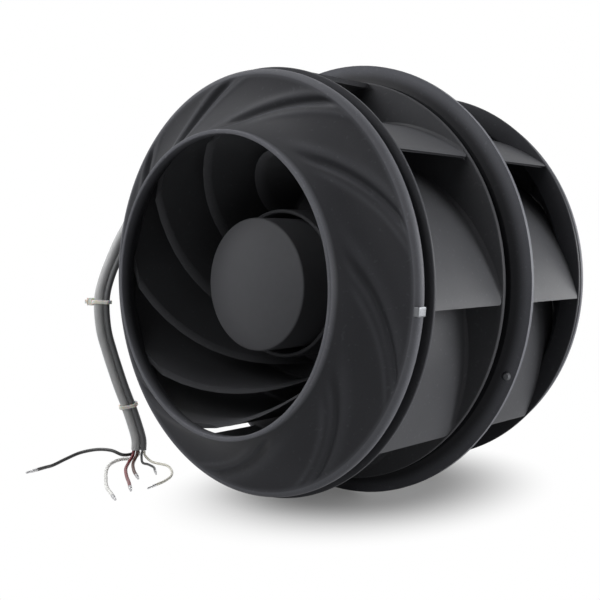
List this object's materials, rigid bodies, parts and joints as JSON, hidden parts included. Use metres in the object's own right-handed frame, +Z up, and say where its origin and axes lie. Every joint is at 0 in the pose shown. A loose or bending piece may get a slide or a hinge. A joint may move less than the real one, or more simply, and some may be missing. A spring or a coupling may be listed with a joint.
{
  "type": "double-inlet motorised fan impeller",
  "caption": "Black double-inlet fan impeller with swept backward-curved blades, fluted bell shrouds and a central disc, driven by the external-rotor motor in its hub, with two free cables.",
  "frame": {"origin": "centre of the motor's mounting face, on the axis of rotation", "axes": "+Y along the axis of rotation, out of the mounting face towards the rear inlet; the front inlet faces -Y; +Z up as pictured"},
  "size_m": [0.3292, 0.2686, 0.272],
  "materials": {
    "shroud_plastic": "fine-grained black glass-filled plastic",
    "wheel_plastic": "fine-grained black glass-filled plastic",
    "rotor_coat": "smooth dark grey coating",
    "magnet": "dull sintered ferrite",
    "steel": "bright plated steel",
    "bearing_steel": "polished bearing steel",
    "lamination": "stacked sheet steel",
    "copper": "enamelled winding wire",
    "housing_cast": "die-cast, as cast",
    "board": "coated circuit board",
    "capacitor": "shrink sleeve",
    "cover_plastic": "black moulded plastic",
    "gland_rubber": "soft moulded",
    "power_jacket": "grey cable jacket",
    "signal_jacket": "dark grey cable jacket",
    "tie_nylon": "natural nylon",
    "lead_black": "wire insulation",
    "lead_red": "wire insulation",
    "lead_brown": "wire insulation",
    "lead_white": "wire insulation",
    "lead_ivory": "wire insulation",
    "lead_grey": "wire insulation",
    "tin": "tinned copper"
  },
  "bodies": {
    "stator": {"motor_housing": "housing_cast", "stator_stack": "lamination", "stator_coils": "copper", "circuit_board": "board", "board_capacitors": "capacitor", "board_screws": "steel", "rear_cover": "cover_plastic", "cover_screws": "steel", "cable_glands": "gland_rubber", "bearing_outer_rings": "bearing_steel", "bearing_balls": "bearing_steel", "preload_spring": "steel", "power_cable": "power_jacket", "signal_cable": "signal_jacket", "cable_ties": "tie_nylon", "black_lead": "lead_black", "red_lead": "lead_red", "brown_lead": "lead_brown", "white_lead": "lead_white", "ivory_lead": "lead_ivory", "grey_lead": "lead_grey", "wire_ferrules": "tin"},
    "rotor": {"front_shroud": "shroud_plastic", "front_blades": "wheel_plastic", "front_plate": "wheel_plastic", "centre_disc": "shroud_plastic", "rear_plate": "wheel_plastic", "rear_blades": "wheel_plastic", "rear_shroud": "shroud_plastic", "disc_screws": "steel", "balance_clip": "steel", "balance_rivet": "steel", "rotor_cup": "rotor_coat", "rotor_magnets": "magnet", "motor_shaft": "steel", "circlip": "steel", "bearing_inner_rings": "bearing_steel"}
  },
  "joints": [
    {"name": "wheel_spin", "type": "hinge", "parent": "stator", "child": "rotor", "pos_m": [0, 0, 0], "axis": [0, -1, 0], "continuous": true}
  ]
}
